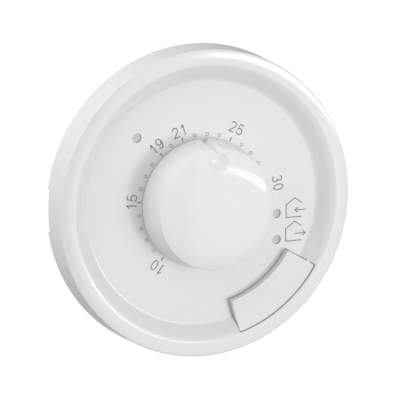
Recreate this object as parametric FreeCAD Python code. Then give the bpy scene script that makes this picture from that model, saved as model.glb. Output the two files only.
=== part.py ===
import FreeCAD, Part
import math
import os

# Round wall thermostat, in millimetres.
# The wall is the plane y = 0. The room is on the -Y side and the flush box on the +Y side.
# +X is to the right and +Z is up for a person who faces the wall. The knob turns about the Y axis.
# "front" and "back" name heights in front of the wall, so they are the negative of y.
# A bearing is an angle in degrees from straight up, clockwise for a person who faces the wall.

os.makedirs("parts", exist_ok=True)
V = FreeCAD.Vector
ORIGIN = V(0, 0, 0)
AXIS = V(0, 1, 0)

# ---- driving dimensions ----
cover_r = 36.0                        # cover at its front edge
plate_front = 5.6                     # recessed plate, in front of the wall
crest_front = plate_front + 2.5       # highest line of the rim
knob_height = 8.34                    # knob's front edge above the plate
knob_r = 14.15                        # knob's front edge
slide_fit = 0.05                      # radial clearance of a running or push fit
seam = 0.1                            # gap between faces that move past each other

# ---- cover ----
cover_back = 0.15                     # the cover stops just short of the wall
cover_draft = 0.4                     # extra radius at the back edge
edge_fillet = 0.35
skirt_inner_r = 34.5
plate_thickness = 1.6
plate_back = plate_front - plate_thickness
plate_r = 28.3                        # flat part of the plate
slope_angle = 40.0                    # inner face of the rim, from the plate's plane
crest_r = 33.2                        # where the rim starts to fall towards the plate
crest_fall = 2.2                      # radial width of the soft upper fillet
foot_width = 1.2                      # radial width of the fillet at the plate
ceiling_front = crest_front - 1.8     # underside of the rim
ceiling_r = 31.4                      # where the underside slopes down to the plate's back
notch_width = 10.0                    # pry notch at 9 o'clock
notch_height = 1.0
window_r = 1.1

# ---- light windows: name, x, z ----
WINDOWS = (
    ("heating", -16.35, 16.35),
    ("comfort", 18.6, -4.16),
    ("setback", 18.65, -10.4),
)

# ---- knob ----
knob_base_r = 15.2
knob_gap = 0.35                       # between the knob's skirt and the plate
knob_shoulder = 1.1                   # width of the sloping ring around the dome
shoulder_rise = 0.38
crown_r = 9.0                         # gently curved middle of the dome
crown_slope = 4.5                     # slope of the dome at crown_r, in degrees
dome_edge_slope = 13.0                # and where it meets the shoulder
knob_wall = 1.7
knob_round = 0.25
knob_front = plate_front + knob_height
knob_ceiling = knob_front - 1.4       # underside of the knob's front wall
groove_depth = 1.2
groove_width = 2.5
dimple_r = 2.4
dimple_depth = 0.45
dimple_at = 12.0
hub_r = 6.0
hub_back = 2.6
clip_groove_r = 5.3
clip_thickness = 0.7
clip_front = plate_back - seam
clip_back = clip_front - clip_thickness
clip_outer_r = 8.0
shaft_r = 3.0
shaft_flat = 1.5                      # from the axis to the flat of the D
shaft_front = 11.5
bore_front = shaft_front + 0.3

# ---- rotation stops ----
turn_down = 140.5                     # from rest back to the lowest mark
turn_up = 81.0                        # from rest on to the highest mark
stop_inner_r = 8.5
stop_outer_r = 10.5
stop_front = plate_front + 1.6
stop_tab_half = 9.0                   # half angle of the knob's tab
stop_margin = 0.25
stop_arc_half = 180.0 - (turn_down + turn_up) / 2 - stop_tab_half - stop_margin
stop_arc_mid = (turn_up - turn_down) / 2

# ---- mode button ----
button_from = 121.2                   # bearings of the opening
button_to = 165.0
button_inner_r = 24.3
button_outer_r = 32.45
button_gap = 0.15
button_front = plate_front + 2.0
button_dish = 0.25
button_wall = 1.2
lug_front = plate_back - 0.13
lug_back = lug_front - 0.92
lug_half_width = 3.0

# ---- switch ----
switch_bearing = (button_from + button_to) / 2
switch_radius = 19.3
switch_half = 3.0
plunger_r = 1.7

# ---- support frame and box screws ----
frame_thickness = 1.2
frame_r = 33.4
box_screw_radius = 30.0
box_screw_hole_r = 1.9
box_head_r = 3.6
frame_screw_radius = 23.9

# ---- cover clips: bearings that stay clear of the box screws and the button ----
CLIP_BEARINGS = (20.0, 110.0, 200.0, 290.0)
tongue_inner_r = 29.85
tongue_outer_r = 31.15
tongue_width = 5.0
tongue_back = 1.8
clip_sheet = 0.35
clip_leg_front = 4.0

# ---- housing ----
housing_half = 21.3
housing_corner = 10.0
housing_wall = 1.4
housing_depth = 21.0                  # behind the wall plane
flange_front = frame_thickness + 0.8
flange_r = 27.2
inner_half = housing_half - housing_wall
inner_corner = housing_corner - housing_wall
floor_y = housing_depth - housing_wall
column_x = 17.9                       # columns that carry the lid
column_z = 3.0
column_r = 2.1
lid_thickness = 1.4
lid_y = lid_thickness - frame_thickness
screw_r = 0.85
screw_hole_r = 0.9
screw_head_r = 1.7
screw_head_height = 1.0

# ---- boards, by their y ----
board_thickness = 1.2
board_half = 19.5
board_corner = 8.3
control_y = 5.2
control_back_y = control_y + board_thickness
power_y = 17.6
power_back_y = power_y + board_thickness
power_low_z = -9.5
BOARD_POSTS = ((14.0, 14.0), (-14.0, -14.0), (-14.5, 7.0))
BOARD_PADS = ((-12.0, 16.0), (12.0, 16.0), (-17.0, -6.0), (17.0, -6.0))
board_post_r = 2.2
column_notch = 2.5

# ---- parts on the boards ----
pot_half_x = 4.9
pot_low_z = -6.3
pot_high_z = 5.3
pot_front_y = 0.4
pot_pin_z = pot_low_z + 0.8
POT_PINS = (-2.5, 0.0, 2.5)
bushing_r = 3.5
bushing_front = 2.2
wiper_r = 3.9
wiper_y = (1.6, 3.0)
led_size = (1.6, 1.6, 0.8)            # along x, y and z
sensor_x = -8.0
sensor_z = -17.0
sensor_r = 1.3
sensor_front = 2.4
sensor_lead = 0.6                     # from the sensor's middle to each of its leads
chip_place = (3.0, 5.5)
chip_half = 3.5
header_z = 17.0
header_half_x = 5.0
header_half_z = 1.25
header_tip_y = 7.2
socket_back_y = 11.9
header_front_y = 15.4
HEADER_PINS = (-4.0, -2.0, 0.0, 2.0, 4.0)
pin_half = 0.25
pin_hole_half = 0.35

# ---- relay, lying on the power board ----
relay_x = (-15.0, 0.0)
relay_z = (-7.5, 2.5)
relay_front_y = 7.6
relay_base_y = 16.8
relay_wall = 0.7
relay_mid_z = sum(relay_z) / 2
coil_y = 12.9
coil_r = 2.8
coil_x = (-12.6, -4.4)
core_r = 0.95
contact_y = 9.0
contact_r = 0.5
armature_x = -3.6
armature_thickness = 0.8

# ---- other parts of the power board ----
film_x = (-14.0, -1.0)
film_z = (7.0, 13.0)
film_front_y = 8.2
can_place = (6.5, 11.0)
can_r = 4.0
can_front_y = 8.0
varistor_x = (12.0, 15.0)
varistor_z = 10.5
varistor_r = 3.4
fuse_place = (10.5, -2.5)
fuse_r = 3.6
fuse_front_y = 9.5
resistor_place = (-10.6, 15.6, 16.0)
resistor_half = 3.0
resistor_r = 1.3
resistor_wire = 0.3

# ---- terminals ----
TERMINAL_X = (-9.6, -3.2, 3.2, 9.6)
terminal_block_x = 13.2
terminal_block_z = (-19.5, -10.0)
terminal_front_y = 8.2
wire_z = -13.6
wire_hole_r = 1.6
clamp_half_x = 2.4
clamp_y = (11.0, 17.0)
clamp_z = (-18.0, -11.6)
clamp_screw_y = 14.0
clamp_screw_r = 1.2
clamp_head_r = 2.0
clamp_head_height = 1.3
clamp_pin_z = power_low_z + 0.8
tab_half_x = 1.0
tab_thickness = 0.6
driver_port_r = 2.2


# ---- shape helpers ----
def at(radius, bearing, y=0.0):
    """Point at a radius and bearing about the knob's axis."""
    angle = math.radians(bearing)
    return V(radius * math.sin(angle), y, radius * math.cos(angle))


def rod(radius, y0, y1, x=0.0, z=0.0):
    """Round bar along Y."""
    return Part.makeCylinder(radius, y1 - y0, V(x, y0, z), AXIS)


def tube(outer_r, inner_r, y0, y1, x=0.0, z=0.0):
    return rod(outer_r, y0, y1, x, z).cut(rod(inner_r, y0 - 1, y1 + 1, x, z))


def block(x, y, z):
    """Box from a low and a high value along each axis."""
    return Part.makeBox(x[1] - x[0], y[1] - y[0], z[1] - z[0], V(x[0], y[0], z[0]))


def spread(middle, half):
    return (middle - half, middle + half)


def joined(shapes):
    """One solid from pieces that touch or overlap, added in turn."""
    whole = shapes[0]
    for shape in shapes[1:]:
        whole = whole.fuse(shape).removeSplitter()
    return whole


def less(shape, cutters):
    """The shape with each cutter taken away in turn."""
    for cutter in cutters:
        shape = shape.cut(cutter)
    return shape


def section(start, *steps):
    """Closed face from (radius, front) corners. A step of two corners is an arc through the first."""
    here = V(0, -start[1], start[0])
    edges = []
    for step in list(steps) + [start]:
        if isinstance(step[0], tuple):
            middle = V(0, -step[0][1], step[0][0])
            there = V(0, -step[1][1], step[1][0])
            edges.append(Part.Arc(here, middle, there).toShape())
        else:
            there = V(0, -step[1], step[0])
            if here.distanceToPoint(there) > 1e-6:
                edges.append(Part.makeLine(here, there))
        here = there
    return Part.Face(Part.Wire(edges))


def lathe(face, bearing=0.0, sweep=360.0):
    """Turn a section about the knob's axis, from one bearing through a sweep."""
    turned = face.copy()
    turned.rotate(ORIGIN, AXIS, bearing)
    return turned.revolve(ORIGIN, AXIS, sweep)


def ring_sector(inner_r, outer_r, back, front, bearing, sweep):
    face = section((inner_r, back), (outer_r, back), (outer_r, front), (inner_r, front))
    return lathe(face, bearing, sweep)


def rounded_square(half, corner, y0, y1):
    box = block(spread(0, half), (y0, y1), spread(0, half))
    upright = [e for e in box.Edges if abs(e.tangentAt(e.FirstParameter).y) > 0.99]
    return box.makeFillet(corner, upright)


def screw(y_head, y_tip, x, z, direction=1):
    """Pan-head screw along Y. The head lies in front of y_head for direction 1, behind it for -1."""
    head_end = y_head - direction * screw_head_height
    head = rod(screw_head_r, min(y_head, head_end), max(y_head, head_end), x, z)
    shank = rod(screw_r, min(y_head, y_tip), max(y_head, y_tip), x, z)
    slot_y = (head_end - 0.5 * screw_head_height, head_end + 0.5 * screw_head_height)
    slot = block(spread(x, screw_head_r), slot_y, spread(z, 0.2))
    return joined([head, shank]).cut(slot)


def turned(shape, bearing):
    copy = shape.copy()
    copy.rotate(ORIGIN, AXIS, bearing)
    return copy


def save(name, shape):
    shape.exportStep("parts/" + name + ".step")


# ---- cover ----
def falling_fillet(r_high, front_high, width, angle):
    """Arc from level to a slope as it goes inwards: its middle and end, as (radius, front)."""
    full = math.radians(angle)
    radius = width / math.sin(full)
    middle = (r_high - radius * math.sin(full / 2), front_high - radius * (1 - math.cos(full / 2)))
    end = (r_high - width, front_high - radius * (1 - math.cos(full)))
    return middle, end


def rising_fillet(r_low, front_low, width, angle):
    """Arc from the plate's level to a slope as it goes outwards: its middle and its upper end."""
    full = math.radians(angle)
    radius = width / math.sin(full)
    middle = (r_low + radius * math.sin(full / 2), front_low + radius * (1 - math.cos(full / 2)))
    end = (r_low + width, front_low + radius * (1 - math.cos(full)))
    return middle, end


def cover_section():
    crest_mid, slope_top = falling_fillet(crest_r, crest_front, crest_fall, slope_angle)
    foot_mid, slope_foot = rising_fillet(plate_r, plate_front, foot_width, slope_angle)
    brow = (cover_r - edge_fillet, crest_front - 0.27)
    corner_mid = (cover_r - 0.29 * edge_fillet, brow[1] - 0.29 * edge_fillet)
    corner_end = (cover_r, brow[1] - edge_fillet)
    brow_mid = ((crest_r + brow[0]) / 2, crest_front - 0.07)
    bore_r = hub_r + slide_fit
    return section(
        (bore_r, plate_back),
        (plate_r - 0.6, plate_back),
        (ceiling_r, ceiling_front),
        (skirt_inner_r, ceiling_front),
        (skirt_inner_r + 0.3, cover_back),
        (cover_r + cover_draft, cover_back),
        corner_end,
        (corner_mid, brow),
        (brow_mid, (crest_r, crest_front)),
        (crest_mid, slope_top),
        slope_foot,
        (foot_mid, (plate_r, plate_front)),
        (bore_r, plate_front),
    )


def button_opening():
    sweep = button_to - button_from
    opening = ring_sector(button_inner_r, button_outer_r, 0.0, crest_front + 1, button_from, sweep)
    corners = [e for e in opening.Edges if e.Curve.TypeId == "Part::GeomLine"
               and abs(e.tangentAt(e.FirstParameter).y) > 0.99]
    return opening.makeFillet(0.4, corners)


def front_cover():
    bore_r = hub_r + slide_fit
    shell = lathe(cover_section())
    stop = ring_sector(stop_inner_r, stop_outer_r, plate_front - 0.5, stop_front,
                       stop_arc_mid - stop_arc_half, 2 * stop_arc_half)
    tongue = block(spread(0, tongue_width / 2), (-ceiling_front, -tongue_back),
                   (tongue_inner_r, tongue_outer_r))
    whole = joined([shell, stop] + [turned(tongue, b) for b in CLIP_BEARINGS])
    notch = block((-cover_r - 2, -skirt_inner_r + 1), (-cover_back - notch_height, 1),
                  spread(0, notch_width / 2))
    windows = [rod(window_r, -plate_front - 1, 0, x, z) for _, x, z in WINDOWS]
    bore = rod(bore_r, -plate_front - 1, 0)
    return less(whole, [button_opening(), notch, bore] + windows)


def light_pipe(x, z):
    """Clear rod with a collar that bears on the back of the plate, down to just above its light."""
    pipe_r = window_r - slide_fit
    collar_back = plate_back - 0.7
    face = rod(pipe_r, -(plate_front - 0.4), -plate_back + 0.2, x, z)
    collar = rod(pipe_r + 0.5, -plate_back, -collar_back, x, z)
    stem = rod(pipe_r - 0.1, -collar_back - 0.2, control_y - led_size[1] - 0.2, x, z)
    return joined([face, collar, stem])


# ---- knob ----
def dome_edge_circle():
    """Radius of the dome's outer curve and its centre, as (radius, front)."""
    low = math.radians(crown_slope)
    high = math.radians(dome_edge_slope)
    radius = (knob_r - knob_shoulder - crown_r) / (math.sin(high) - math.sin(low))
    return radius, (crown_r - radius * math.sin(low), knob_front + shoulder_rise - radius * math.cos(high))


def dome_front(radius):
    """Height of the dome's outer curve at a radius."""
    curve_r, centre = dome_edge_circle()
    return centre[1] + math.sqrt(curve_r ** 2 - (radius - centre[0]) ** 2)


def knob_shell():
    land_r = knob_r - knob_shoulder
    skirt_back = plate_front + knob_gap
    skirt_inner = knob_base_r - knob_wall
    corner = 0.29 * knob_round
    edge_mid = (crown_r + land_r) / 2
    crown_radius = crown_r / math.sin(math.radians(crown_slope))
    crown_centre = dome_front(crown_r) - math.sqrt(crown_radius ** 2 - crown_r ** 2)
    crown_mid = crown_centre + math.sqrt(crown_radius ** 2 - (crown_r / 2) ** 2)
    outline = section(
        (0.0, knob_ceiling),
        (knob_r - knob_wall, knob_ceiling),
        (skirt_inner, skirt_back),
        (knob_base_r, skirt_back),
        (knob_r + 0.03, knob_front - knob_round),
        ((knob_r - corner, knob_front - corner), (knob_r - knob_round, knob_front)),
        (land_r, knob_front + shoulder_rise),
        ((edge_mid, dome_front(edge_mid)), (crown_r, dome_front(crown_r))),
        ((crown_r / 2, crown_mid), (0.0, crown_centre + crown_radius)),
    )
    return lathe(outline)


def pointer_groove():
    """V groove that follows the knob's tapered side, as a wedge between two triangles."""
    taper = (knob_base_r - knob_r) / knob_height
    triangles = []
    for height in (-0.5, knob_height + 0.5):
        y = -(plate_front + height)
        radius = knob_base_r - taper * height
        tip = V(0, y, radius - groove_depth)
        left = V(-groove_width, y, radius + groove_depth)
        right = V(groove_width, y, radius + groove_depth)
        triangles.append(Part.makePolygon([tip, left, right, tip]))
    return Part.makeLoft(triangles, True, True)


def finger_dimple():
    ball_r = (dimple_r ** 2 + dimple_depth ** 2) / (2 * dimple_depth)
    return Part.makeSphere(ball_r, V(0, -(dome_front(dimple_at) + ball_r - dimple_depth), dimple_at))


def shaft_bore(clearance, back, front):
    """D-shaped hole or bar about the knob's axis."""
    bar = rod(shaft_r + clearance, -front, -back)
    flat = block(spread(0, shaft_r + 1), (-front - 1, -back + 1), (shaft_flat + clearance, shaft_r + 1))
    return bar.cut(flat)


def knob():
    """Shell with its hub, ribs, the tab that meets the stops and a backing behind the groove."""
    buried = -knob_ceiling - 0.5
    hub = rod(hub_r, buried, -hub_back)
    rib = block(spread(0, 0.5), (buried, -stop_front - 0.6), (hub_r - 0.5, knob_r - knob_wall + 0.3))
    ribs = [turned(rib, bearing) for bearing in (45.0, 135.0, 225.0, 315.0)]
    tab = ring_sector(stop_inner_r - 0.2, stop_outer_r + 0.2, plate_front + knob_gap,
                      -buried, 180.0 - stop_tab_half, 2 * stop_tab_half)
    backing = block(spread(0, 2.2), (buried, -plate_front - knob_gap),
                    (knob_r - knob_wall - 1.3, knob_r - 0.6 * groove_depth - 0.5))
    whole = joined([knob_shell(), hub, tab, backing] + ribs)
    clip_groove = tube(hub_r + 1, clip_groove_r, -clip_front, -clip_back)
    return less(whole, [pointer_groove(), finger_dimple(), clip_groove,
                        shaft_bore(0.04, hub_back - 1, bore_front)])


def knob_retaining_ring():
    ring = tube(clip_outer_r, clip_groove_r, -clip_front, -clip_back)
    mouth = block(spread(0, 2.6), (-clip_front - 1, 0), (0, clip_outer_r + 1))
    return ring.cut(mouth)


# ---- mode button ----
def mode_button():
    inner = button_inner_r + button_gap
    outer = button_outer_r - button_gap
    middle = (inner + outer) / 2
    start = button_from + math.degrees(button_gap / inner)
    sweep = button_to - math.degrees(button_gap / inner) - start
    cap = lathe(section((inner, lug_back), (outer, lug_back), (outer, button_front),
                        ((middle, button_front - button_dish), (inner, button_front))), start, sweep)
    corners = [e for e in cap.Edges if e.Curve.TypeId == "Part::GeomLine"
               and abs(e.tangentAt(e.FirstParameter).y) > 0.99]
    cap = cap.makeFillet(0.35, corners)
    wall = math.degrees(button_wall / inner)
    hollow = ring_sector(inner + button_wall, outer - button_wall, lug_back - 1,
                         button_front - button_dish - 1.3, start + wall, sweep - 2 * wall)
    lip = ring_sector(outer - 0.5, outer + 1.5, ceiling_front - 1.1, ceiling_front - seam,
                      start + 2.0, sweep - 4.0)
    lug = block(spread(0, lug_half_width), (-lug_front, -lug_back),
                (switch_radius - 2.4, inner + 0.8))
    return joined([cap.cut(hollow), lip, turned(lug, switch_bearing)])


def switch_place():
    return at(switch_radius, switch_bearing)


def switch_body():
    place = switch_place()
    body = block(spread(place.x, switch_half), (1.7, control_y), spread(place.z, switch_half))
    well = rod(plunger_r + slide_fit, 1.0, 4.4, place.x, place.z)
    shoulder = rod(plunger_r + 0.6, 2.2, 4.4, place.x, place.z)
    return less(body, [well, shoulder])


def switch_plunger():
    """Stem with a shoulder that keeps it inside the switch."""
    place = switch_place()
    stem = rod(plunger_r, -lug_back + 0.05, 3.4, place.x, place.z)
    shoulder = rod(plunger_r + 0.5, 2.3, 3.4, place.x, place.z)
    return joined([stem, shoulder])


# ---- support frame ----
def box_screw_places():
    return [at(box_screw_radius, bearing) for bearing in (0.0, 90.0, 180.0, 270.0)]


def frame_screw_places():
    return [at(frame_screw_radius, bearing) for bearing in (0.0, 90.0, 180.0, 270.0)]


def support_frame():
    plate = rod(frame_r, -frame_thickness, 0)
    passage = rounded_square(housing_half + 0.2, housing_corner + 0.2, -frame_thickness - 1, 1)
    holes = [rod(box_screw_hole_r, -frame_thickness - 1, 1, p.x, p.z) for p in box_screw_places()]
    taps = [rod(screw_hole_r, -frame_thickness - 1, 1, p.x, p.z) for p in frame_screw_places()]
    return less(plate, [passage] + holes + taps)


def cover_clips():
    """Four spring-steel channels on the frame. Each grips one tongue of the cover."""
    gap = 0.05
    legs = (tongue_inner_r - gap, tongue_outer_r + gap)
    base = block(spread(0, tongue_width / 2), (-frame_thickness - clip_sheet, -frame_thickness),
                 (legs[0] - clip_sheet, legs[1] + clip_sheet))
    inner = block(spread(0, tongue_width / 2), (-clip_leg_front, -frame_thickness),
                  (legs[0] - clip_sheet, legs[0]))
    outer = block(spread(0, tongue_width / 2), (-clip_leg_front, -frame_thickness),
                  (legs[1], legs[1] + clip_sheet))
    channel = joined([base, inner, outer])
    return Part.makeCompound([turned(channel, b) for b in CLIP_BEARINGS])


def frame_screws():
    return Part.makeCompound([screw(-flange_front, -0.1, p.x, p.z) for p in frame_screw_places()])


# ---- housing ----
def rear_housing():
    body = rounded_square(housing_half, housing_corner, -flange_front, housing_depth)
    flange = rod(flange_r, -flange_front, -frame_thickness)
    hollow = rounded_square(inner_half, inner_corner, -flange_front - 1, floor_y)
    head_notches = [rod(box_head_r, -flange_front - 1, -frame_thickness + 0.5, p.x, p.z)
                    for p in box_screw_places()]
    shell = less(joined([body, less(flange, head_notches)]), [hollow])
    columns = [rod(column_r, lid_y, floor_y + 0.5, side * column_x, column_z) for side in (-1, 1)]
    pads = [rod(1.0, power_back_y, floor_y + 0.5, x, z) for x, z in BOARD_PADS]
    whole = joined([shell] + columns + pads)
    flange_holes = [rod(screw_hole_r + 0.2, -flange_front - 1, 0, p.x, p.z) for p in frame_screw_places()]
    pilots = [rod(screw_hole_r, lid_y - 1, lid_y + 8, side * column_x, column_z) for side in (-1, 1)]
    wire_ports = [rod(wire_hole_r + 0.3, floor_y - 1, housing_depth + 1, x, wire_z) for x in TERMINAL_X]
    driver_ports = [along_z(driver_port_r, -housing_half - 1, -housing_half + 3, x) for x in TERMINAL_X]
    return less(whole, flange_holes + pilots + wire_ports + driver_ports)


def window_slot(x, z):
    """Open slot in the lid's edge for a light pipe."""
    outward = V(x, 0, 0)
    if abs(z) > 0.9 * abs(x):
        outward = V(x, 0, z)
    outward.normalize()
    half = window_r + 0.3
    across = V(-outward.z, 0, outward.x) * half
    near = V(x, -frame_thickness - 1, z)
    far = near + outward * 6
    corners = [near + across, far + across, far - across, near - across, near + across]
    slot = Part.Face(Part.makePolygon(corners)).extrude(V(0, lid_thickness + 2, 0))
    return slot.fuse(rod(half, -frame_thickness - 1, lid_y + 1, x, z))


def housing_lid():
    plate = rounded_square(inner_half - seam, inner_corner - seam, -frame_thickness, lid_y)
    posts = [rod(board_post_r, lid_y - 0.5, control_y, x, z) for x, z in BOARD_POSTS]
    whole = joined([plate] + posts)
    pilots = [rod(screw_hole_r, control_y - 4.5, control_y + 1, x, z) for x, z in BOARD_POSTS]
    place = switch_place()
    holes = [
        rod(bushing_r + 0.2, -3, 1, 0, 0),
        rod(plunger_r + 0.3, -3, 1, place.x, place.z),
        rod(sensor_r + 0.4, -3, 1, sensor_x, sensor_z),
    ]
    screws = [rod(screw_hole_r + 0.1, -3, 1, side * column_x, column_z) for side in (-1, 1)]
    slots = [window_slot(x, z) for _, x, z in WINDOWS]
    return less(whole, pilots + holes + screws + slots)


def lid_screws():
    tip = lid_y + 6.8
    return Part.makeCompound([screw(-frame_thickness, tip, side * column_x, column_z) for side in (-1, 1)])


# ---- boards ----
def column_notches(y0, y1):
    """Cut-outs in a board's two sides for the housing's columns."""
    notches = []
    for side in (-1, 1):
        across = sorted((side * (column_x - column_notch), side * (board_half + 5)))
        notches.append(block(across, (y0 - 1, y1 + 1), spread(column_z, column_notch)))
    return notches


def pin_slot(x, z, y0, y1, half=pin_hole_half):
    return block(spread(x, half), (y0, y1), spread(z, half))


def control_board():
    board = rounded_square(board_half, board_corner, control_y, control_back_y)
    through = (control_y - 1, control_back_y + 1)
    screw_holes = [rod(screw_hole_r + 0.1, *through, x, z) for x, z in BOARD_POSTS]
    pin_holes = [pin_slot(x, pot_pin_z, *through) for x in POT_PINS]
    leads = [pin_slot(x, sensor_z, *through) for x in spread(sensor_x, sensor_lead)]
    return less(board, column_notches(control_y, control_back_y) + screw_holes + pin_holes + leads)


def board_screws():
    tip = control_y - 3.5
    return Part.makeCompound([screw(control_back_y, tip, x, z, direction=-1) for x, z in BOARD_POSTS])


def microcontroller():
    """Flat square chip with nine legs on each side."""
    x, z = chip_place
    body = block(spread(x, chip_half), (control_back_y + 0.1, control_back_y + 1.0), spread(z, chip_half))
    leg_y = (control_back_y, control_back_y + 0.4)
    leg = block((chip_half - 0.3, chip_half + 0.7), leg_y, spread(0, 0.15))
    legs = []
    for side in (0.0, 90.0, 180.0, 270.0):
        for step in range(-4, 5):
            copy = leg.copy()
            copy.translate(V(0, 0, step * chip_half / 5))
            copy = turned(copy, side)
            copy.translate(V(x, 0, z))
            legs.append(copy)
    return body.multiFuse(legs)


def temperature_sensor():
    bead = Part.makeSphere(sensor_r, V(sensor_x, -sensor_front, sensor_z))
    tip = control_back_y + 0.6
    leads = [rod(0.25, -sensor_front, tip, x, sensor_z) for x in spread(sensor_x, sensor_lead)]
    return joined([bead] + leads)


def led(x, z):
    wide, high, deep = led_size
    lens = block(spread(x, wide / 2 - 0.2), (control_y - high, control_y - 0.5), spread(z, deep / 2 - 0.1))
    base = block(spread(x, wide / 2), (control_y - 0.5, control_y), spread(z, deep / 2))
    return joined([lens, base])


def potentiometer_body():
    body = block(spread(0, pot_half_x), (pot_front_y, control_y), (pot_low_z, pot_high_z))
    neck = rod(shaft_r + slide_fit, pot_front_y - 1, pot_front_y + 2)
    track = rod(wiper_r + 0.15, wiper_y[0] - 0.1, wiper_y[1] + 0.2)
    return less(body, [neck, track])


def potentiometer_bushing():
    return tube(bushing_r, shaft_r + slide_fit, -bushing_front, pot_front_y)


def potentiometer_shaft():
    """Round in the bushing, D-shaped in front of it, with the wiper's disc at the back."""
    neck = rod(shaft_r, -bushing_front - 0.1, wiper_y[0] + 0.2)
    disc = rod(wiper_r, wiper_y[0], wiper_y[1])
    return joined([shaft_bore(0.0, bushing_front, shaft_front), neck, disc])


def potentiometer_pins():
    back = control_back_y + 0.7
    return Part.makeCompound([pin_slot(x, pot_pin_z, control_y, back, pin_half) for x in POT_PINS])


def board_socket():
    body = block(spread(0, header_half_x), (control_back_y, socket_back_y), spread(header_z, header_half_z))
    return less(body, [pin_slot(x, header_z, header_tip_y - 0.2, socket_back_y + 1) for x in HEADER_PINS])


def board_header():
    body = block(spread(0, header_half_x), (header_front_y, power_y), spread(header_z, header_half_z))
    return less(body, [pin_slot(x, header_z, header_front_y - 1, power_y + 1, pin_half) for x in HEADER_PINS])


def header_pins():
    back = power_back_y + 0.5
    return Part.makeCompound([pin_slot(x, header_z, header_tip_y, back, pin_half) for x in HEADER_PINS])


def power_board():
    board = rounded_square(board_half, board_corner, power_y, power_back_y)
    through = (power_y - 1, power_back_y + 1)
    below = block(spread(0, 30), through, (-30, power_low_z))
    pins = [pin_slot(x, header_z, *through) for x in HEADER_PINS]
    tabs = [pin_slot(x, clamp_pin_z, *through, 0.5) for x in TERMINAL_X]
    return less(board, [below] + column_notches(power_y, power_back_y) + pins + tabs)


# ---- relay ----
def relay_base():
    return block(relay_x, (relay_base_y, power_y), relay_z)


def relay_case():
    shell = block(relay_x, (relay_front_y, relay_base_y), relay_z)
    hollow = block((relay_x[0] + relay_wall, relay_x[1] - relay_wall),
                   (relay_front_y + relay_wall, relay_base_y + 1),
                   (relay_z[0] + relay_wall, relay_z[1] - relay_wall))
    return shell.cut(hollow)


def along_x(radius, x0, x1, y, z):
    return Part.makeCylinder(radius, x1 - x0, V(x0, y, z), V(1, 0, 0))


def along_z(radius, z0, z1, x, y=clamp_screw_y):
    return Part.makeCylinder(radius, z1 - z0, V(x, y, z0), V(0, 0, 1))


def relay_coil():
    """Winding between two bobbin cheeks."""
    low, high = coil_x
    cheeks = [along_x(coil_r + 0.3, x, x + 0.5, coil_y, relay_mid_z) for x in (low, high - 0.5)]
    winding = along_x(coil_r, low + 0.4, high - 0.4, coil_y, relay_mid_z)
    return joined(cheeks + [winding]).cut(along_x(core_r + slide_fit, low - 1, high + 1, coil_y, relay_mid_z))


def relay_yoke():
    """Core through the coil, end plate and the arm that the armature hangs on."""
    wide = spread(relay_mid_z, 3.0)
    plate_x = (coil_x[0] - 0.8, coil_x[0])
    core = along_x(core_r, coil_x[0] - 0.1, armature_x - 0.35, coil_y, relay_mid_z)
    plate = block(plate_x, (coil_y - 3.0, relay_base_y), wide)
    arm = block((plate_x[0] + 0.4, armature_x - slide_fit), (relay_base_y - 0.7, relay_base_y), wide)
    return joined([core, plate, arm])


def relay_fixed_contact():
    """Strip over the coil with a contact rivet that faces the armature."""
    wide = spread(relay_mid_z, 1.0)
    strip_y = (relay_front_y + 0.8, relay_front_y + 1.2)
    leg_x = (relay_x[0] + 0.8, relay_x[0] + 1.2)
    tip_x = (armature_x - 1.8, armature_x - 1.4)
    leg = block(leg_x, (strip_y[0], relay_base_y), wide)
    strip = block((leg_x[0], tip_x[1]), strip_y, wide)
    tip = block(tip_x, (strip_y[0], contact_y + 0.6), wide)
    rivet = along_x(contact_r, tip_x[1] - 0.1, armature_x - 0.8, contact_y, relay_mid_z)
    return joined([leg, strip, tip, rivet])


def relay_armature():
    """Iron plate that the coil pulls. It carries the moving contact at its far end."""
    plate = block((armature_x, armature_x + armature_thickness), (contact_y - 0.5, relay_base_y - 0.1),
                  spread(relay_mid_z, 2.8))
    rivet = along_x(contact_r, armature_x - 0.35, armature_x + 0.1, contact_y, relay_mid_z)
    return joined([plate, rivet])


# ---- other power parts ----
def suppression_capacitor():
    box = block(film_x, (film_front_y, power_y), film_z)
    upright = [e for e in box.Edges if abs(e.tangentAt(e.FirstParameter).y) > 0.99]
    return box.makeFillet(0.5, upright)


def smoothing_capacitor():
    """Can with the crimped groove above its base."""
    x, z = can_place
    can = rod(can_r, can_front_y, power_y, x, z)
    crimp = tube(can_r + 1, can_r - 0.25, power_y - 1.8, power_y - 1.2, x, z)
    return can.cut(crimp)


def varistor():
    """Disc on edge, on two straight leads."""
    disc = along_x(varistor_r, varistor_x[0], varistor_x[1], power_y - varistor_r - 0.8, varistor_z)
    lead_x = sum(varistor_x) / 2
    leads = [rod(0.3, power_y - varistor_r - 0.8, power_y, lead_x, z) for z in spread(varistor_z, 2.0)]
    return joined([disc] + leads)


def fuse():
    return rod(fuse_r, fuse_front_y, power_y, *fuse_place)


def dropper_resistor():
    """Ceramic body on two bent leads."""
    x, y, z = resistor_place
    body = along_x(resistor_r, x - resistor_half, x + resistor_half, y, z)
    reach = spread(x, resistor_half + 1.2)
    across = block(reach, spread(y, resistor_wire), spread(z, resistor_wire))
    feet = [block(spread(end, resistor_wire), (y - resistor_wire, power_y), spread(z, resistor_wire))
            for end in reach]
    return joined([body, across] + feet)


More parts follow.
